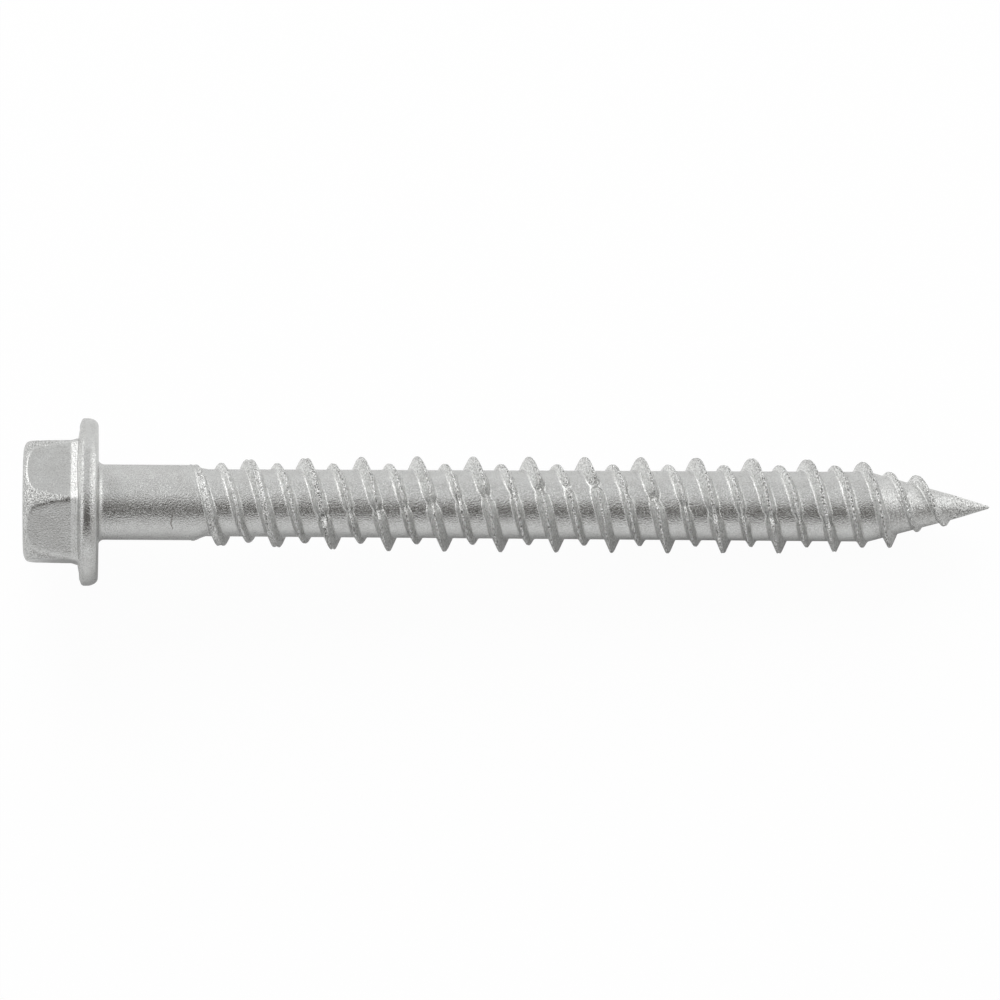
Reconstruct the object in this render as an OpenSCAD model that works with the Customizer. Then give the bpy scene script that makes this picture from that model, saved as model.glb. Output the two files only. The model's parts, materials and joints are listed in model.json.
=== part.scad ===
// Concrete screw with a hexagon washer head, a plain shank and a twin thread:
// a high ridge and a low ridge wind side by side and run out on a sharp point.
// It is one cold-formed piece of zinc-coated steel, lying on its flange and its thread.
// Each shape is drawn about the Z axis with the bearing face at z = 0 and the point at z = length.

/* [Length] */
// Length under the head, from the bearing face to the point
length = 60; // [45:0.1:100]
// Length of the plain shank under the head
shank_l = 6.5; // [2:0.1:20]
// Length of the tapered point
point_l = 8.2; // [5:0.1:12]

/* [Head] */
// Width of the hexagon across its flats
hex_af = 8; // [7:0.05:9]
// Height of the hexagon above the flange
hex_h = 3.6; // [2.5:0.05:6]
// Angle of the hexagon about the axis
hex_angle = 56; // [0:1:60]
// Rounding of the hexagon's end
hex_end_r = 1.05; // [0.4:0.05:1.4]
// How far the cold-formed corners fall short at the foot of that rounding
corner_short = 0.24; // [0.1:0.02:0.5]
// Height of the flared collar where the hexagon meets the flange
collar_h = 0.4; // [0.1:0.05:0.6]
// How far the collar flares out at the flange
collar_flare = 0.12; // [0.05:0.01:0.2]

/* [Flange] */
// Diameter of the washer flange
flange_d = 11.25; // [10.5:0.05:12.5]
// Thickness of the flange at the hexagon
flange_t = 1.4; // [1.25:0.05:2]
// Slope of the flange's upper face
flange_slope = 10; // [0:1:15]
// Rounding of the rim on the hexagon's side
rim_top_r = 0.25; // [0.1:0.05:0.35]
// How far the rounding of the rim on the bearing side reaches along the axis
rim_bearing_l = 0.75; // [0.3:0.05:0.8]
// How far that rounding reaches in from the rim
rim_bearing_w = 0.5; // [0.1:0.05:0.8]
// Fillet between the bearing face and the shank
neck_r = 0.3; // [0.1:0.05:0.5]

/* [Shank and core] */
// Diameter of the plain shank
shank_d = 5.05; // [4.85:0.05:5.4]
// Diameter of the core at the shank
core_start_d = 4.5; // [4.2:0.05:4.75]
// Diameter of the core at the point
core_d = 4.7; // [4.2:0.05:4.75]
// Length of the cone from the shank down to the core
step_l = 0.45; // [0.2:0.05:1]
// Rounding of the point
point_r = 0.1; // [0.05:0.01:0.2]

/* [Thread] */
// Axial distance that each ridge advances in one turn
lead_l = 3.755; // [3.4:0.005:4.4]
// Diameter over the high ridge
high_d = 6.45; // [6.1:0.05:6.9]
// Diameter over the low ridge
low_d = 5.6; // [5.15:0.05:5.9]
// Width of the high ridge at the core
high_w = 0.9; // [0.7:0.05:1.2]
// Width of the low ridge at the core
low_w = 0.65; // [0.5:0.05:1]
// Width of the flat on each crest
crest_w = 0.12; // [0.08:0.01:0.25]
// Width of the flat on the high crest where the thread starts, before rolling has closed it
start_crest_w = 0.4; // [0.15:0.05:0.6]
// Angle of the high ridge about the axis, at the bearing face
thread_angle = 202; // [0:1:360]

/* [Hidden] */
steel = "#b9bcba";
round_steps = 8;
turn_steps = 30;
hex_sides = 6;
// How deep the ridges' roots lie inside the core
root_depth = 0.12;
// Height of a ridge's crest where the ridge ends, just inside the core
sunk = -root_depth / 3;

hex_corner_r = hex_af / 2 / cos(180 / hex_sides);
head_h = hex_h + flange_t;
flange_r = flange_d / 2;
shank_r = shank_d / 2;
core_start_r = core_start_d / 2;
core_r = core_d / 2;
high_h = high_d / 2 - core_r;
low_h = low_d / 2 - core_r;
core_z = shank_l + step_l / 2;
thread_z = shank_l - step_l / 2;
cone_z = length - point_l;

// Radius of the core by distance from the bearing face: it swells a little towards the point,
// and the point is blunter at its tip than at its start
core_outline = [
    [core_z, core_start_r],
    [cone_z, core_r],
    [cone_z + 0.72 * point_l, 0.33 * core_r],
    [length, 0]
];

// Height of each ridge above the core, by distance from the bearing face:
// both climb out of the shank, and they follow a rounder outline than the core on the point
high_rise = [
    [thread_z - 0.2 * lead_l, sunk],
    [thread_z + 0.5 * lead_l, 0.75 * high_h],
    [thread_z + 3.5 * lead_l, 1.06 * high_h],
    [cone_z - 3.5 * lead_l, 1.06 * high_h],
    [cone_z - 1.3 * lead_l, high_h],
    [cone_z - 0.3 * lead_l, 0.77 * high_h],
    [cone_z + 0.05 * point_l, 0.8 * high_h],
    [cone_z + 0.2 * point_l, 0.97 * high_h],
    [cone_z + 0.4 * point_l, 0.81 * high_h],
    [cone_z + 0.65 * point_l, 0.35 * high_h],
    [cone_z + 0.74 * point_l, sunk]
];
low_rise = [
    [thread_z - 0.1 * lead_l, sunk],
    [thread_z + 0.45 * lead_l, low_h],
    [cone_z, low_h],
    [cone_z + 0.2 * point_l, 0.9 * low_h],
    [cone_z + 0.42 * point_l, 0.5 * low_h],
    [cone_z + 0.52 * point_l, sunk]
];

// Width of the flat on each crest, by distance from the bearing face
high_crest = [
    [thread_z + 0.5 * lead_l, start_crest_w],
    [thread_z + 3 * lead_l, crest_w]
];
low_crest = [
    [0, crest_w],
    [length, crest_w]
];

// How it lies: on the rim of the flange and on the high ridge where it passes underneath,
// with a flat between two of the ridge's steps facing down
under_z = [
    for (i = [1:floor(cone_z / lead_l)])
        for (half_step = [-0.5, 0.5])
            lead_l * (i + half_step / turn_steps - thread_angle / 360)
];
under_r = [for (z = under_z) (lookup(z, core_outline) + lookup(z, high_rise)) * cos(180 / turn_steps)];
rest_tilt = min([
    for (i = [0:len(under_z) - 1])
        if (under_z[i] > shank_l)
            atan((flange_r - under_r[i]) / (under_z[i] + rim_bearing_l))
]);
rest_lift = (flange_r - rim_bearing_w) * cos(rest_tilt) - rim_bearing_l * sin(rest_tilt)
    + norm([rim_bearing_w * cos(rest_tilt), rim_bearing_l * sin(rest_tilt)]);
rest_x = (length - head_h) / 2 * cos(rest_tilt);

// Points of a round arc about a centre, or of an oval one, with its reach across and along the axis
function oval(centre, across, along, from, to) = [
    for (i = [0:round_steps])
        let (a = from + (to - from) * i / round_steps)
        centre + [across * cos(a), along * sin(a)]
];
function arc(centre, r, from, to) = oval(centre, r, r, from, to);

// The hexagon: a prism inside a turned outline that gives its rounded end and its short corners
module hexagon() {
    intersection() {
        translate([0, 0, -head_h])
            rotate(hex_angle)
            cylinder(r = hex_corner_r, h = head_h, $fn = hex_sides);
        rotate_extrude() polygon(concat(
            [[0, -head_h]],
            arc([hex_corner_r - corner_short - hex_end_r, hex_end_r - head_h], hex_end_r, 270, 360),
            [
                [hex_corner_r + collar_flare / 5, -flange_t - collar_h],
                [hex_corner_r + collar_flare / 5, -flange_t / 2],
                [0, -flange_t / 2]
            ]
        ));
    }
}

// Flare at the foot of the hexagon, where it runs out on the flange
module collar() {
    translate([0, 0, -flange_t - collar_h])
        rotate(hex_angle)
        cylinder(
            r1 = hex_corner_r,
            r2 = hex_corner_r + collar_flare,
            h = collar_h + flange_t / 4,
            $fn = hex_sides
        );
}

module flange() {
    rim_top_z = (flange_r - rim_top_r - hex_af / 2) * tan(flange_slope)
        + rim_top_r / cos(flange_slope) - flange_t;
    rotate_extrude() polygon(concat(
        [[0, 0], [shank_r, 0]],
        oval([flange_r - rim_bearing_w, -rim_bearing_l], rim_bearing_w, rim_bearing_l, 90, 0),
        arc([flange_r - rim_top_r, rim_top_z], rim_top_r, 0, flange_slope - 90),
        [[hex_af / 2, -flange_t], [0, -flange_t]]
    ));
}

// Neck fillet, shank, core and point, turned in one outline
module stem() {
    rotate_extrude() polygon(concat(
        [[0, -flange_t / 2], [shank_r + neck_r, -flange_t / 2]],
        arc([shank_r + neck_r, neck_r], neck_r, 270, 180),
        [
            [shank_r, thread_z],
            [core_start_r, core_z],
            [core_r, cone_z],
            [core_outline[2][1], core_outline[2][0]],
            [point_r, length - point_r],
            [0, length]
        ]
    ));
}

// One ridge of the thread: its section swept along the helix, with its root inside the core
module ridge(rise, crest, full_h, foot_w, angle) {
    corners = 4;
    flank = (foot_w - crest_w) / 2 / full_h;
    turn_at = function (z) (z / lead_l + angle / 360) * turn_steps - 0.5;
    first = ceil(turn_at(rise[0][0]));
    last = floor(turn_at(rise[len(rise) - 1][0]));
    points = [
        for (i = [first:last])
            let (
                a = (i + 0.5) * 360 / turn_steps,
                z = lead_l * (a - angle) / 360,
                h = lookup(z, rise),
                top = lookup(z, crest) / 2,
                foot = top + flank * (h + root_depth)
            )
            for (p = [[-foot, -root_depth], [-top, h], [top, h], [foot, -root_depth]])
                let (r = lookup(z + p[0], core_outline) + p[1])
                [r * cos(a), r * sin(a), z + p[0]]
    ];
    sections = last - first;
    faces = concat(
        [[for (k = [corners - 1:-1:0]) k]],
        [
            for (i = [0:sections - 1])
                for (k = [0:corners - 1])
                    let (
                        a = i * corners + k,
                        b = i * corners + (k + 1) % corners
                    )
                    each [[a, b + corners, a + corners], [a, b, b + corners]]
        ],
        [[for (k = [0:corners - 1]) sections * corners + k]]
    );
    polyhedron(points, faces, convexity = 10);
}

module concrete_screw() {
    color(steel)
        translate([-rest_x, 0, rest_lift])
        rotate([0, 90 + rest_tilt, 0]) {
            hexagon();
            collar();
            flange();
            stem();
            ridge(high_rise, high_crest, high_h, high_w, thread_angle);
            ridge(low_rise, low_crest, low_h, low_w, thread_angle + 180);
        }
}

concrete_screw();
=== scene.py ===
"""The looks of a concrete screw: one cold-formed piece of zinc-coated steel.

It lies on its flange and its thread. The mesh is turned about the screw's own axis, pressed to its form
and then laid down in the frame.
"""

import json
import math

import bmesh
import bpy
from mathutils import Matrix, Vector, noise


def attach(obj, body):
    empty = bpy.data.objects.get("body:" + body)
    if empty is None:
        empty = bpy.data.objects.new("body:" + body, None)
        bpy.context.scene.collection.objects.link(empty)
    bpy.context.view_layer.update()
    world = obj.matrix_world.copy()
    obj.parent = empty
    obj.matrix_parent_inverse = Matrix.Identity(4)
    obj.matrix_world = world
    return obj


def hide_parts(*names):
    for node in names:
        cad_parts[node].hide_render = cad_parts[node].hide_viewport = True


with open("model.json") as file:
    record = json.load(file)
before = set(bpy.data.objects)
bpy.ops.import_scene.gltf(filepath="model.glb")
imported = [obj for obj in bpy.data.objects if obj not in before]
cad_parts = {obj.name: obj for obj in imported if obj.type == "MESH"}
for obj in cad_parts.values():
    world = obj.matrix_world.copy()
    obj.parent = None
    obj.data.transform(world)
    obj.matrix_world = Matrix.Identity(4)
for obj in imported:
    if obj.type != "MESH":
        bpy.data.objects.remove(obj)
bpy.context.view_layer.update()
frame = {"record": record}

# Sizes of the screw, in millimetres, about its own axis: bearing face at height 0, point at LENGTH.
# LENGTH, HEX_H and FLANGE_R are a hair under the solid's, so that the mesh stays inside its box.
MM = 0.001
LENGTH = 59.998
SHANK_L = 6.5
POINT_L = 8.2
HEX_AF = 8.0
HEX_H = 3.598
HEX_ANGLE = math.radians(56)
HEX_END_R = 1.05
CORNER_SHORT = 0.24
COLLAR_H = 0.4
COLLAR_FLARE = 0.12
FLANGE_R = 5.615
FLANGE_T = 1.4
FLANGE_SLOPE = math.radians(10)
RIM_TOP_R = 0.25
RIM_BEARING_L = 0.75
RIM_BEARING_W = 0.5
NECK_R = 0.4
SHANK_R = 2.525
CORE_START_R = 2.25
CORE_R = 2.35
TIP_R = 0.1

# The step from shank to core: its length, how far past the solid's it starts, how much it lengthens
# as it winds, and the share of half a turn after which it is longest
STEP_L = 0.45
STEP_SHIFT = 0.3
STEP_RUN = 0.9
STEP_PEAK = 0.6

# The thread: heights of its two ridges, half the widths of their feet and of their crests
LEAD = 3.755
HIGH_H = 0.875
LOW_H = 0.45
HIGH_FOOT = 0.42
LOW_FOOT = 0.325
CREST = 0.06
START_CREST = 0.2
THREAD_ANGLE = math.radians(202)

# Widths over which edges and roots are rounded
CORNER_SOFT = 0.2
FLAT_SOFT = 0.14
STEP_SOFT = 0.08
CREST_SOFT = 0.08
ROOT_SOFT = 0.16

HEX_CORNER_R = HEX_AF / 2 / math.cos(math.pi / 6)
FOOT_R = HEX_CORNER_R + COLLAR_FLARE
HEAD_H = HEX_H + FLANGE_T
THREAD_Z = SHANK_L - STEP_L / 2
CORE_Z = SHANK_L + STEP_L / 2
CONE_Z = LENGTH - POINT_L

# How fine the mesh is, where the turned head is joined to the threaded rod and over what gap,
# and how far short of the point the rod is cut
HEAD_STEPS = 144
TURN_STEPS = 132
JOIN_Z = 4.8
JOIN_GAP = 0.2
TIP_CUT = 0.05 * TIP_R


# Blending

def soft_min(a, b, width):
    """The smaller of two values, rounded where they meet."""
    near_share = max(width - abs(a - b), 0) / width
    return min(a, b) - near_share * near_share * width / 4


def soft_max(a, b, width):
    return -soft_min(-a, -b, width)


def ease(low, high, value):
    """0 below low, 1 above high, and a smooth rise between."""
    t = min(max((value - low) / (high - low), 0), 1)
    return t * t * (3 - 2 * t)


def between(stops, at):
    """The value at a place along a list of (place, value) stops."""
    if at <= stops[0][0]:
        return stops[0][1]
    for (a, va), (b, vb) in zip(stops, stops[1:]):
        if at <= b:
            return va + (vb - va) * (at - a) / (b - a)
    return stops[-1][1]


# Outlines of the turned parts, as (radius, height)

def line(start, end, steps):
    """Points from start to end, without start."""
    return [tuple(s + (e - s) * i / steps for s, e in zip(start, end)) for i in range(1, steps + 1)]


def oval(centre, across, along, start, end, steps):
    """Points on an oval arc, from one angle in degrees to another."""
    angles = [math.radians(start + (end - start) * i / steps) for i in range(steps + 1)]
    return [(centre[0] + across * math.cos(a), centre[1] + along * math.sin(a)) for a in angles]


def arc(centre, radius, start, end, steps):
    return oval(centre, radius, radius, start, end, steps)


def head_outline():
    """From the middle of the hexagon's end, over the flange, to the shank."""
    slope_rise = (FLANGE_R - RIM_TOP_R - HEX_AF / 2) * math.tan(FLANGE_SLOPE)
    rim_z = slope_rise + RIM_TOP_R / math.cos(FLANGE_SLOPE) - FLANGE_T
    hex_end_centre = (HEX_CORNER_R - CORNER_SHORT - HEX_END_R, HEX_END_R - HEAD_H)
    rim_centre = (FLANGE_R - RIM_BEARING_W, -RIM_BEARING_L)
    hex_end = arc(hex_end_centre, HEX_END_R, 270, 360, 16)
    rim_top = arc((FLANGE_R - RIM_TOP_R, rim_z), RIM_TOP_R, math.degrees(FLANGE_SLOPE) - 90, 0, 6)
    rim_bearing = oval(rim_centre, RIM_BEARING_W, RIM_BEARING_L, 0, 90, 12)
    neck = arc((SHANK_R + NECK_R, NECK_R), NECK_R, 270, 180, 6)
    points = [(0, -HEAD_H)]
    points += line(points[-1], hex_end[0], 8) + hex_end[1:]
    points += line(points[-1], (HEX_CORNER_R + COLLAR_FLARE / 5, -FLANGE_T - COLLAR_H), 12)
    points += line(points[-1], (FOOT_R, -FLANGE_T), 8)
    points += line(points[-1], rim_top[0], 6) + rim_top[1:]
    points += line(points[-1], rim_bearing[0], 2) + rim_bearing[1:]
    points += line(points[-1], neck[0], 5) + neck[1:]
    points += line(points[-1], (SHANK_R, JOIN_Z - JOIN_GAP), 12)
    return points


# The head's form

def hexagon_r(angle, half_flats):
    """Radius of the hexagon at an angle about the axis."""
    sixth = math.pi / 3
    return half_flats / math.cos((angle - HEX_ANGLE) % sixth - sixth / 2)


def shape_head(x, y, z):
    """Presses the turned head outline to its hexagon, with soft edges."""
    r = math.hypot(x, y)
    # The bearing side and the middle of the hexagon's end stay as turned
    if z > -0.9 * FLANGE_T or r < 0.3 * HEX_AF:
        return x, y, z
    flare = COLLAR_FLARE * (1 - min((-FLANGE_T - z) / COLLAR_H, 1))
    flats = hexagon_r(math.atan2(y, x), HEX_AF / 2 + flare)
    flats = soft_min(flats, HEX_CORNER_R + flare, CORNER_SOFT)
    if z < -FLANGE_T - 1e-6:
        new_r = soft_min(r, flats, FLAT_SOFT)
    else:
        rim_start = FLANGE_R - RIM_TOP_R
        share = (r - FOOT_R) / (rim_start - FOOT_R)
        if share >= 1:
            return x, y, z
        new_r = flats + (rim_start - flats) * share
        z = (new_r - HEX_AF / 2) * math.tan(FLANGE_SLOPE) - FLANGE_T
    return x * new_r / r, y * new_r / r, z


# The form of shank, thread and point

CORE_OUTLINE = [
    (CORE_Z, CORE_START_R),
    (CONE_Z, CORE_R),
    (CONE_Z + 0.72 * POINT_L, 0.33 * CORE_R),
    (LENGTH - TIP_R, TIP_R),
    (LENGTH, 0),
]

# Height of each ridge along the axis, as a share of its full height
HIGH_RISE = [
    (THREAD_Z - 0.25 * LEAD, 0.15),
    (THREAD_Z - 0.05 * LEAD, 0.32),
    (THREAD_Z + 0.5 * LEAD, 0.75),
    (THREAD_Z + 3.5 * LEAD, 1.06),
    (CONE_Z - 3.5 * LEAD, 1.06),
    (CONE_Z - 1.3 * LEAD, 1),
    (CONE_Z - 0.3 * LEAD, 0.77),
    (CONE_Z + 0.05 * POINT_L, 0.8),
    (CONE_Z + 0.2 * POINT_L, 0.97),
    (CONE_Z + 0.4 * POINT_L, 0.81),
    (CONE_Z + 0.65 * POINT_L, 0.35),
    (CONE_Z + 0.74 * POINT_L, 0),
]
LOW_RISE = [
    (THREAD_Z - 0.1 * LEAD, 0.3),
    (THREAD_Z + 0.02 * LEAD, 0.75),
    (THREAD_Z + 0.45 * LEAD, 1),
    (CONE_Z, 1),
    (CONE_Z + 0.2 * POINT_L, 0.9),
    (CONE_Z + 0.42 * POINT_L, 0.5),
    (CONE_Z + 0.52 * POINT_L, 0),
]

# Half the width of the high crest, which is widest where rolling has not closed it
HIGH_CREST = [
    (THREAD_Z + 0.5 * LEAD, START_CREST),
    (THREAD_Z + 2 * LEAD, 0.75 * START_CREST),
    (THREAD_Z + 3 * LEAD, CREST),
    (CONE_Z - 4 * LEAD, CREST),
    (CONE_Z - 2.5 * LEAD, 1.6 * CREST),
    (CONE_Z - LEAD, 1.6 * CREST),
    (CONE_Z, 1.3 * CREST),
]

# How deep the unclosed high crest is hollow between its lips, and the low crest
HIGH_HOLLOW = [
    (THREAD_Z, 0.04),
    (THREAD_Z + LEAD, 0.09),
    (THREAD_Z + 2.3 * LEAD, 0.11),
    (THREAD_Z + 3.5 * LEAD, 0.02),
    (CONE_Z - 4 * LEAD, 0),
    (CONE_Z - 2.5 * LEAD, 0.07),
    (CONE_Z - LEAD, 0.07),
    (CONE_Z, 0.03),
]
LOW_HOLLOW = 0.02

# Where the rolling dies met, the ridges have nicks: their angle by height, how far each reaches around,
# how deep it is as a share of the ridge, its usual strength, and how fast that changes along the axis
SEAM = [(14, math.radians(203)), (33, math.radians(147)), (41, math.radians(190)), (50, math.radians(205))]
SEAM_REACH = math.radians(12)
SEAM_DEPTH = 0.65
SEAM_STRENGTH = 0.75
SEAM_CHANGE = 1.7

# How far the rolled crests wander, and over what length. The hollow's depth wanders over a shorter one,
# and each millimetre of wander changes it by this many times
WANDER = 0.03
WANDER_L = 0.9
HOLLOW_WANDER_L = 0.35
HOLLOW_WANDER = 12


def stem_r(angle, z):
    """Radius of shank, core and point, with a step between that winds along beside the ridges' starts."""
    half_turn = (angle / math.pi - 0.5) % 1
    step_l = STEP_L + STEP_RUN * min(half_turn / STEP_PEAK, (1 - half_turn) / (1 - STEP_PEAK))
    step = (z - THREAD_Z - STEP_SHIFT) / step_l
    shank = soft_min(SHANK_R, SHANK_R + (CORE_START_R - SHANK_R) * step, STEP_SOFT)
    return max(shank, between(CORE_OUTLINE, z))


def from_ridge(angle, z, turn):
    """Signed distance along the axis from the middle of a ridge that starts at a turn."""
    middle = LEAD * (angle - THREAD_ANGLE - turn) / math.tau
    return (z - middle + LEAD / 2) % LEAD - LEAD / 2


def ridge_h(distance, height, crest, slope, hollow):
    """Height of a ridge's section: crest with its hollow, straight flanks and filleted roots."""
    flank = height + (crest - abs(distance)) * slope
    inside = max(1 - (distance / crest) ** 2, 0)
    return soft_max(0, soft_min(height, flank, CREST_SOFT) - hollow * inside, ROOT_SOFT)


def nick(angle, z):
    """How strong the seam's nick is at an angle and height, from 0 up."""
    if not SEAM[0][0] < z < SEAM[-1][0]:
        return 0
    off = (angle - between(SEAM, z) + math.pi) % math.tau - math.pi
    strength = max(noise.noise((0, 0, z * SEAM_CHANGE)) + SEAM_STRENGTH, 0)
    return strength * max(1 - abs(off) / SEAM_REACH, 0)


def uneven(x, y, z, size):
    """A slow wander, in millimetres, that keeps the rolled crest from being perfect."""
    return WANDER * noise.noise((x / size, y / size, z / size))


def shape_thread(x, y, z):
    """Presses a plain rod to its shank, its twin thread and its point."""
    angle = math.atan2(y, x)
    high_u = from_ridge(angle, z, 0)
    low_u = from_ridge(angle, z, math.pi)
    high_share = between(HIGH_RISE, z - high_u)
    low_share = between(LOW_RISE, z - low_u)
    cut = 1 - SEAM_DEPTH * nick(angle, z)
    wander = uneven(x, y, z, WANDER_L)
    height = 0
    if high_share > 0:
        crest = between(HIGH_CREST, z - high_u)
        hollow = between(HIGH_HOLLOW, z - high_u)
        hollow *= 1 + HOLLOW_WANDER * uneven(x, y, z, HOLLOW_WANDER_L)
        top = HIGH_H * high_share * cut - max(wander, 0)
        height = ridge_h(high_u + wander, top, crest, HIGH_H / (HIGH_FOOT - CREST), hollow)
    if low_share > 0:
        top = LOW_H * low_share * cut - max(wander, 0)
        low = ridge_h(low_u + wander, top, CREST, LOW_H / (LOW_FOOT - CREST), LOW_HOLLOW)
        height = max(height, low)
    r = max(stem_r(angle, z), between(CORE_OUTLINE, z) + height)
    return r * math.cos(angle), r * math.sin(angle), z


# Where the coating is rough, matt, pitted with painted glints among the pits, and grainy: four shares from
# 0 to 1

# The head: grain of hexagon and flange, grit and pits with painted glints of the hexagon's end, grit on the
# flange's rim
HEX_GRAIN = 0.45
FLANGE_GRAIN = 0.7
HEX_END_GRIT = 0.4
HEX_END_PITS_AND_GLINTS = 0.5
BEARING_GRIT = 0.35
RIM_TOP_GRIT = 0.8

# Heights above the stem over which a ridge's finish sets in, and the wear of its crest
RIDGE_FADE = (0.03, 0.14)
CREST_FADE = (0.12, 0.3)

# How far past the edge of each crest its metal is bare, how far it is worn, and how bare it is
HIGH_BARE = 0.14
LOW_BARE = 0.12
HIGH_WORN = 0.2
LOW_WORN = 0.18
BARE = 0.8

# Grit of the crests where the thread starts, and how much it grows; grit, and pits with painted glints, of
# the other places
START_WEAR = 0.45
WEAR_GAIN = 0.5
NICK_GRIT = 0.35
FLANK_GRIT = 0.3
FLANK_PITS_AND_GLINTS = 0.6
TIP_GRIT = 0.4
TIP_PITS_AND_GLINTS = 0.8
CONE_PITS_AND_GLINTS = 0.3
CONE_MATT = 0.25


def hexagon_finish(x, y):
    """The hexagon is rough on its rounded end, and less so on the flat inside it."""
    r = math.hypot(x, y)
    off_flats = ease(0.01, 0.06, hexagon_r(math.atan2(y, x), HEX_AF / 2) - r)
    on_round = ease(0.35 * HEX_AF, 0.45 * HEX_AF, r)
    rough = off_flats * (HEX_END_GRIT + (1 - HEX_END_GRIT) * on_round)
    return rough, 0, HEX_END_PITS_AND_GLINTS * rough, HEX_GRAIN


def flange_finish(z):
    """The flange has a rough line near its bearing face, and a rough band on the hexagon's side."""
    share = -z / FLANGE_T
    bearing_line = BEARING_GRIT * ease(0.1, 0.18, share) * (1 - ease(0.3, 0.38, share))
    rim_top = RIM_TOP_GRIT * ease(0.6, 0.7, share) * (1 - ease(0.85, 0.95, share))
    return max(bearing_line, rim_top), 0, 0, FLANGE_GRAIN


def on_crest(distance, crest, reach):
    """1 on a crest, falling to 0 at a reach past its edge."""
    return 1 - ease(crest, crest + reach, abs(distance))


def thread_finish(x, y, z):
    """The ridges are matt with worn crests and smooth nicks, and the point is matt and gritty."""
    angle = math.atan2(y, x)
    high_u = from_ridge(angle, z, 0)
    low_u = from_ridge(angle, z, math.pi)
    high_crest = between(HIGH_CREST, z - high_u)
    height = math.hypot(x, y) - stem_r(angle, z)
    on_ridge = ease(*RIDGE_FADE, height)
    in_nick = min(3 * nick(angle, z), 1) * on_ridge
    bare = max(on_crest(high_u, high_crest, HIGH_BARE), on_crest(low_u, CREST, LOW_BARE))
    worn = max(on_crest(high_u, high_crest, HIGH_WORN), on_crest(low_u, CREST, LOW_WORN))
    wear = START_WEAR + WEAR_GAIN * ease(THREAD_Z + 0.5 * LEAD, THREAD_Z + 2.5 * LEAD, z)
    grit = wear * worn * ease(*CREST_FADE, height)
    grit += (NICK_GRIT - grit) * in_nick
    on_tip = ease(CONE_Z + 0.5 * POINT_L, CONE_Z + 0.75 * POINT_L, z)
    on_cone = ease(CONE_Z, CONE_Z + 0.1 * POINT_L, z)
    rough = max(grit, FLANK_GRIT * on_ridge, TIP_GRIT * on_tip)
    matt = max(on_ridge * (1 - max(BARE * bare, in_nick)), on_tip, CONE_MATT * on_cone)
    # Where the pits show, with painted glints among them that are brighter than the zinc's own colour
    pits_and_glints = max(rough, FLANK_PITS_AND_GLINTS * on_ridge, TIP_PITS_AND_GLINTS * on_tip, CONE_PITS_AND_GLINTS * on_cone)
    return rough, matt, pits_and_glints, 1


def finish_at(x, y, z):
    """How rough, how matt, how pitted with painted glints, and how grainy the coating is at a place."""
    if z < -FLANGE_T - COLLAR_H:
        return hexagon_finish(x, y)
    if z < 0:
        return flange_finish(z)
    if z < THREAD_Z:
        return 0, 0, 0, 1
    return thread_finish(x, y, z)


# The mesh

def spun(bm, points, steps, rise):
    """A line through points given as (radius, height), spun once around the axis with a rise a step."""
    verts = [bm.verts.new((r, 0, z)) for r, z in points]
    edges = [bm.edges.new(pair) for pair in zip(verts, verts[1:])]
    bmesh.ops.spin(
        bm,
        geom=verts + edges,
        cent=(0, 0, 0),
        axis=(0, 0, 1),
        dvec=(0, 0, rise),
        angle=math.tau,
        steps=steps,
        use_merge=rise == 0,
        use_normal_flip=False,
        use_duplicate=False,
    )


def reshape(verts, shape):
    for v in verts:
        v.co = shape(*v.co)


def turned_head():
    bm = bmesh.new()
    spun(bm, head_outline(), HEAD_STEPS, 0)
    bmesh.ops.remove_doubles(bm, verts=bm.verts, dist=1e-4)
    reshape(bm.verts, shape_head)
    return bm


def ridge_stops():
    """Places along one lead, close together on the ridges, measured from the high ridge."""
    high = [0, 0.05, 0.1, 0.15, 0.2, 0.26, 0.32, 0.38, 0.44, 0.51, 0.58, 0.68]
    low = [LEAD / 2 - u for u in (0.5, 0.4, 0.31, 0.24, 0.17, 0.11, 0.06, 0)]
    middle = (high[-1] + low[0]) / 2
    half = high + [middle] + low
    return [-u for u in reversed(half[1:])] + half


def threaded_rod():
    """A rod of whole turns, cut at the join and near the point, where its last ring is drawn together."""
    first = math.floor((JOIN_Z - LEAD) / LEAD + THREAD_ANGLE / math.tau)
    start = LEAD * (first - THREAD_ANGLE / math.tau)
    turns = math.ceil((LENGTH - start) / LEAD) + 1
    bm = bmesh.new()
    spun(bm, [(CORE_R, start + u) for u in ridge_stops()], TURN_STEPS, LEAD / TURN_STEPS)
    first_turn = bm.verts[:] + bm.edges[:] + bm.faces[:]
    for turn in range(1, turns):
        copy = bmesh.ops.duplicate(bm, geom=first_turn)["geom"]
        verts = [v for v in copy if isinstance(v, bmesh.types.BMVert)]
        bmesh.ops.translate(bm, vec=(0, 0, turn * LEAD), verts=verts)
    bmesh.ops.remove_doubles(bm, verts=bm.verts, dist=1e-3)
    for height, side in ((JOIN_Z, -1), (LENGTH - TIP_CUT, 1)):
        bmesh.ops.bisect_plane(
            bm,
            geom=bm.verts[:] + bm.edges[:] + bm.faces[:],
            dist=1e-5,
            plane_co=(0, 0, height),
            plane_no=(0, 0, side),
            clear_outer=True,
        )
    reshape(bm.verts, shape_thread)
    tip = [v for v in bm.verts if v.co.z > LENGTH - 1.2 * TIP_CUT]
    bmesh.ops.pointmerge(bm, verts=tip, merge_co=(0, 0, LENGTH))
    return bm


def lying():
    """The screw's own axis and bearing face, taken to their place in the frame."""
    mount = next(m for m in frame["record"]["mounts"] if m["name"] == "bearing_face")
    along = Vector(mount["axis"])
    across = Vector((0, 1, 0))
    turn = Matrix((across.cross(along), across, along)).transposed().to_4x4()
    place = Vector((mount["pos_m"][0], 0, mount["pos_m"][2]))
    return Matrix.Translation(place) @ turn @ Matrix.Scale(MM, 4)


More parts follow.
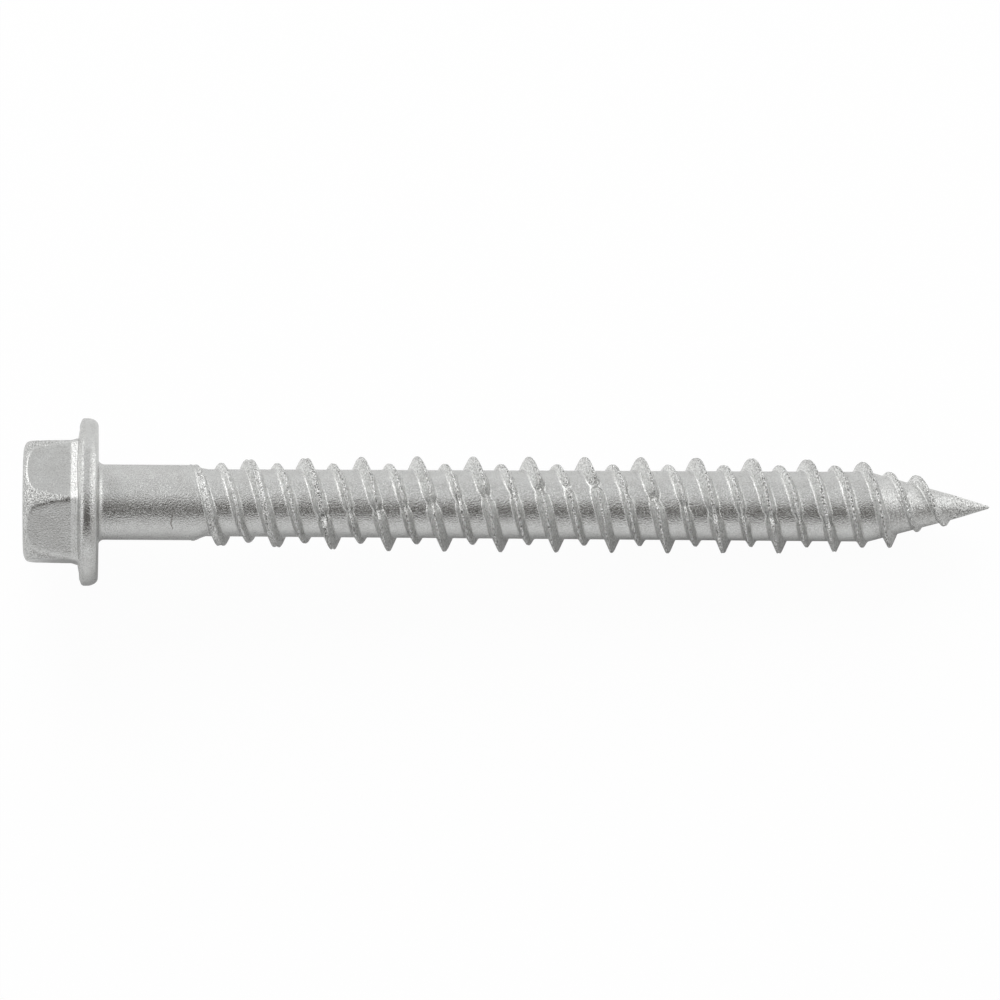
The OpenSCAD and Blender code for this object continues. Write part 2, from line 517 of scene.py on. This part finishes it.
def build_screw():
    whole = turned_head()
    rod = threaded_rod()
    mesh = bpy.data.meshes.new("concrete_screw_form")
    rod.to_mesh(mesh)
    rod.free()
    whole.from_mesh(mesh)
    ends = [e for e in whole.edges if e.is_boundary]
    bmesh.ops.bridge_loops(whole, edges=ends)
    bmesh.ops.recalc_face_normals(whole, faces=whole.faces)
    finish = whole.verts.layers.float_color.new("finish")
    for v in whole.verts:
        v[finish] = finish_at(*v.co)
    bmesh.ops.transform(whole, matrix=lying(), verts=whole.verts)
    for face in whole.faces:
        face.smooth = True
    whole.to_mesh(mesh)
    whole.free()
    screw = bpy.data.objects.new("screw", mesh)
    bpy.context.collection.objects.link(screw)
    return screw


# Nodes

def new_material(name):
    material = bpy.data.materials.new(name)
    material.use_nodes = True
    material.node_tree.nodes.clear()
    return material, material.node_tree.nodes, material.node_tree.links


def put(links, value, socket):
    """Sets a socket to a number, or links another socket to it."""
    if isinstance(value, (int, float)):
        socket.default_value = value
    else:
        links.new(value, socket)


def calculated(nodes, links, operation, *values):
    """The result of a math operation on numbers or sockets."""
    node = nodes.new("ShaderNodeMath")
    node.operation = operation
    for value, socket in zip(values, node.inputs):
        put(links, value, socket)
    return node.outputs[0]


def ramp_of(nodes, links, value, stops):
    """Turns a value to a colour or a grey level along stops of (place, colour)."""
    ramp = nodes.new("ShaderNodeValToRGB")
    first, last = ramp.color_ramp.elements
    first.position, first.color = stops[0][0], (*stops[0][1], 1)
    last.position, last.color = stops[-1][0], (*stops[-1][1], 1)
    for position, colour in stops[1:-1]:
        ramp.color_ramp.elements.new(position).color = (*colour, 1)
    links.new(value, ramp.inputs["Fac"])
    return ramp.outputs["Color"]


def mixed(nodes, links, share, a, b, kind="FLOAT", blend="MIX"):
    """Two values, or two colours of the kind RGBA, blended by a share from 0 to 1."""
    mix = nodes.new("ShaderNodeMix")
    mix.data_type = kind
    mix.blend_type = blend
    for value, name in ((share, "Factor"), (a, "A"), (b, "B")):
        put(links, value, mix.inputs[name])
    return mix.outputs["Result"]


def grain_of(nodes, links, place, size, detail):
    """Noise with grains of a size in millimetres."""
    grain = nodes.new("ShaderNodeTexNoise")
    grain.inputs["Scale"].default_value = 1 / (size * MM)
    grain.inputs["Detail"].default_value = detail
    links.new(place.outputs["Object"], grain.inputs["Vector"])
    return grain.outputs["Fac"]


def bumped(nodes, links, height, strength, depth, under=None):
    """A normal raised by a height, whose full range is a depth in millimetres."""
    bump = nodes.new("ShaderNodeBump")
    bump.inputs["Distance"].default_value = depth * MM
    links.new(height, bump.inputs["Height"])
    links.new(strength, bump.inputs["Strength"])
    if under:
        links.new(under, bump.inputs["Normal"])
    return bump.outputs["Normal"]


# Finish: a grainy zinc coating, with one fine crack on the shank

# Colours by the value of a noise: the tone of the fine grain, a slow shade over it, and the dark pits with
# painted glints among them
TONE = [(0.3, (0.56, 0.563, 0.556)), (0.7, (0.73, 0.737, 0.724))]
SHADE = [(0.3, (0.92, 0.915, 0.91)), (0.65, (1, 1, 1))]
# The dark stop darkens the pits. The stop above 1 brightens the colour past the zinc's own into painted
# glints.
PIT_AND_GLINT_COLOURS = [(0.36, (0.15, 0.145, 0.14)), (0.46, (0.95, 0.95, 0.95)), (0.56, (1, 1, 1)), (0.64, (1.6, 1.6, 1.6))]

# Tints from nothing to full, where the coating is matt and in the crack
DULL = [(0, (1, 1, 1)), (1, (0.86, 0.86, 0.86))]
DARK = [(0, (1, 1, 1)), (1, (0.55, 0.53, 0.51))]

# Metallic and roughness where the coating is bright and where it is matt
METALLIC = (1.0, 0.62)
ROUGHNESS = (0.18, 0.45)

# Depth of the coating's grain and of its grit, in millimetres, and the grit's least and full strength
GRAIN_DEPTH = 0.045
GRIT_DEPTH = 0.13
GRIT_STRENGTH = (0.05, 1.0)

# The crack, in millimetres in the frame: its middle, its wander, and where it is full and ends each way
CRACK_X = -21.75
CRACK_Y = -1.3
CRACK_WANDER = 1.2
CRACK_WIDTH = (0.03, 0.06)
CRACK_LENGTH = (0.4, 0.6)


def near(nodes, links, value, middle, reach):
    """1 within the first reach of a middle, falling to 0 at the second, given in millimetres."""
    off = calculated(nodes, links, "SUBTRACT", value, middle * MM)
    share = nodes.new("ShaderNodeMapRange")
    share.inputs["From Min"].default_value = reach[1] * MM
    share.inputs["From Max"].default_value = reach[0] * MM
    links.new(calculated(nodes, links, "ABSOLUTE", off), share.inputs["Value"])
    return share.outputs["Result"]


def hairline(nodes, links, place, wander):
    """0 to 1: a fine crack that runs part of the way round the shank."""
    split = nodes.new("ShaderNodeSeparateXYZ")
    links.new(place.outputs["Object"], split.inputs["Vector"])
    along = calculated(nodes, links, "MULTIPLY_ADD", wander, CRACK_WANDER * MM, split.outputs["X"])
    on_line = near(nodes, links, along, CRACK_X, CRACK_WIDTH)
    on_length = near(nodes, links, split.outputs["Y"], CRACK_Y, CRACK_LENGTH)
    return calculated(nodes, links, "MULTIPLY", on_line, on_length)


def zinc_coating():
    material, nodes, links = new_material("zinc_coating")
    place = nodes.new("ShaderNodeTexCoord")
    finish = nodes.new("ShaderNodeAttribute")
    finish.attribute_name = "finish"
    shares = nodes.new("ShaderNodeSeparateColor")
    links.new(finish.outputs["Color"], shares.inputs["Color"])
    rough, matt, pits_and_glints = (shares.outputs[name] for name in ("Red", "Green", "Blue"))
    fine = grain_of(nodes, links, place, size=0.09, detail=2)
    skin = grain_of(nodes, links, place, size=0.1, detail=3)
    grit = grain_of(nodes, links, place, size=0.11, detail=2)
    coarse = grain_of(nodes, links, place, size=0.9, detail=4)
    crack = hairline(nodes, links, place, coarse)
    colour = ramp_of(nodes, links, fine, TONE)
    # Where the finish's third share is high, dark pits and bright painted glints are painted into the
    # colour
    tints = ((1, coarse, SHADE), (pits_and_glints, grit, PIT_AND_GLINT_COLOURS), (1, matt, DULL), (1, crack, DARK))
    for share, value, stops in tints:
        tint = ramp_of(nodes, links, value, stops)
        colour = mixed(nodes, links, share, colour, tint, "RGBA", "MULTIPLY")
    metal = nodes.new("ShaderNodeBsdfPrincipled")
    links.new(colour, metal.inputs["Base Color"])
    links.new(mixed(nodes, links, matt, *METALLIC), metal.inputs["Metallic"])
    links.new(mixed(nodes, links, matt, *ROUGHNESS), metal.inputs["Roughness"])
    grainy = bumped(nodes, links, skin, finish.outputs["Alpha"], GRAIN_DEPTH)
    gritty = mixed(nodes, links, rough, *GRIT_STRENGTH)
    links.new(bumped(nodes, links, grit, gritty, GRIT_DEPTH, grainy), metal.inputs["Normal"])
    out = nodes.new("ShaderNodeOutputMaterial")
    links.new(metal.outputs["BSDF"], out.inputs["Surface"])
    return material


# Studio: a white floor inside a light tent with a slit above for the camera

FLOOR_GREY = 0.5
SEEN_WHITE = 0.965
REFLECTED_WHITE = 0.05

# Brightness of the tent by the angle from overhead, towards the photograph's upper side if positive:
# beside the screw, with the camera's dark slit, and beyond its two ends
TENT_SIDES = [
    (-180, 0.5), (-90, 0.79), (-72, 0.82), (-56, 0.75), (-46, 0.47), (-36, 0.12), (-27, 0.03),
    (-18, 0.03), (-9, 0.14), (0, 0.4), (9, 0.61), (19, 0.71), (30, 0.75), (180, 0.77),
]
HEAD_LIGHT = [(-180, 0.5), (-60, 0.75), (-12, 1.1), (10, 1.8), (60, 2.2), (180, 2.0)]
POINT_LIGHT = [(-180, 0.3), (-60, 0.35), (-12, 0.9), (10, 1.8), (60, 2.2), (180, 2.0)]

# How much warmer the tent is where it is dark, and below which brightness
WARMTH = 0.25
WARM_BELOW = 0.5

# How far the panel at each end shows, by how much a direction points along the screw, from head to point
HEAD_PANEL = [(-0.95, 0.3), (-0.8, 1), (-0.47, 1), (-0.37, 0)]
POINT_PANEL = [(0.56, 0), (0.76, 1), (0.84, 1), (0.93, 0.3)]

# The camera's sensor in millimetres, its height over the place it looks at, that place,
# and the width of the picture there, in metres
SENSOR_W = 36
CAMERA_H = 0.45
AIM = (-0.00055, 0.0003, 0.004)
PICTURE_W = 0.06722
CAMERA_ROLL = math.radians(0.35)


def seen_rays(nodes, links):
    """How white the floor is made for rays from the camera, and for reflected ones."""
    path = nodes.new("ShaderNodeLightPath")
    seen = calculated(nodes, links, "MULTIPLY", path.outputs["Is Camera Ray"], SEEN_WHITE)
    for ray in ("Is Glossy Ray", "Is Transmission Ray"):
        reflected = calculated(nodes, links, "MULTIPLY", path.outputs[ray], REFLECTED_WHITE)
        seen = calculated(nodes, links, "MAXIMUM", seen, reflected)
    return seen


def white_floor():
    bm = bmesh.new()
    bmesh.ops.create_grid(bm, x_segments=1, y_segments=1, size=3)
    mesh = bpy.data.meshes.new("floor")
    bm.to_mesh(mesh)
    bm.free()
    floor = bpy.data.objects.new("floor", mesh)
    bpy.context.collection.objects.link(floor)
    material, nodes, links = new_material("white_floor")
    paint = nodes.new("ShaderNodeBsdfDiffuse")
    paint.inputs["Color"].default_value = (FLOOR_GREY, FLOOR_GREY, FLOOR_GREY, 1)
    glow = nodes.new("ShaderNodeEmission")
    glow.inputs["Strength"].default_value = 1
    mix = nodes.new("ShaderNodeMixShader")
    out = nodes.new("ShaderNodeOutputMaterial")
    links.new(seen_rays(nodes, links), mix.inputs["Fac"])
    links.new(paint.outputs["BSDF"], mix.inputs[1])
    links.new(glow.outputs["Emission"], mix.inputs[2])
    links.new(mix.outputs["Shader"], out.inputs["Surface"])
    mesh.materials.append(material)


def grey_stops(levels):
    """Stops for a ramp over all angles, a little warmer where it is dark."""
    stops = []
    for degrees, level in levels:
        warm = 1 + WARMTH * max(WARM_BELOW - level, 0)
        stops.append((degrees / 360 + 0.5, (level * warm, level, level / warm)))
    return stops


def light_tent():
    world = bpy.data.worlds.new("light_tent")
    world.use_nodes = True
    nodes, links = world.node_tree.nodes, world.node_tree.links
    nodes.clear()
    place = nodes.new("ShaderNodeTexCoord")
    split = nodes.new("ShaderNodeSeparateXYZ")
    links.new(place.outputs["Generated"], split.inputs["Vector"])
    around = nodes.new("ShaderNodeMapRange")
    around.inputs["From Min"].default_value = -math.pi
    around.inputs["From Max"].default_value = math.pi
    angle = calculated(nodes, links, "ARCTAN2", split.outputs["Y"], split.outputs["Z"])
    links.new(angle, around.inputs["Value"])
    along = nodes.new("ShaderNodeMapRange")
    along.inputs["From Min"].default_value = -1
    links.new(split.outputs["X"], along.inputs["Value"])
    glow = ramp_of(nodes, links, around.outputs["Result"], grey_stops(TENT_SIDES))
    for levels, panel in ((HEAD_LIGHT, HEAD_PANEL), (POINT_LIGHT, POINT_PANEL)):
        stops = [(towards / 2 + 0.5, (level, level, level)) for towards, level in panel]
        shows = ramp_of(nodes, links, along.outputs["Result"], stops)
        end_glow = ramp_of(nodes, links, around.outputs["Result"], grey_stops(levels))
        glow = mixed(nodes, links, shows, glow, end_glow, "RGBA")
    light = nodes.new("ShaderNodeBackground")
    links.new(glow, light.inputs["Color"])
    out = nodes.new("ShaderNodeOutputWorld")
    links.new(light.outputs["Background"], out.inputs["Surface"])
    bpy.context.scene.world = world


def floor_lamp():
    """Light from the photograph's upper side, for the matt places and the floor's soft shadow."""
    lamp = bpy.data.lights.new("floor_lamp", "AREA")
    lamp.size = 0.4
    lamp.energy = 9.5
    holder = bpy.data.objects.new("floor_lamp", lamp)
    holder.location = (-0.1, 0.6, 0.35)
    holder.rotation_euler = (-holder.location).to_track_quat("-Z", "Y").to_euler()
    holder.visible_glossy = False
    bpy.context.collection.objects.link(holder)


def overhead_camera():
    """Straight above the screw, as far off as the photograph's perspective asks."""
    camera = bpy.data.objects.new("camera", bpy.data.cameras.new("camera"))
    camera.data.sensor_width = SENSOR_W
    camera.data.lens = SENSOR_W * CAMERA_H / PICTURE_W
    camera.location = (AIM[0], AIM[1], AIM[2] + CAMERA_H)
    camera.rotation_euler = (0, 0, CAMERA_ROLL)
    bpy.context.collection.objects.link(camera)
    bpy.context.scene.camera = camera


screw = build_screw()
screw.data.materials.append(zinc_coating())
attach(screw, "root")
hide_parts("concrete_screw")
white_floor()
light_tent()
floor_lamp()
overhead_camera()
bpy.context.scene.view_settings.view_transform = "Standard"
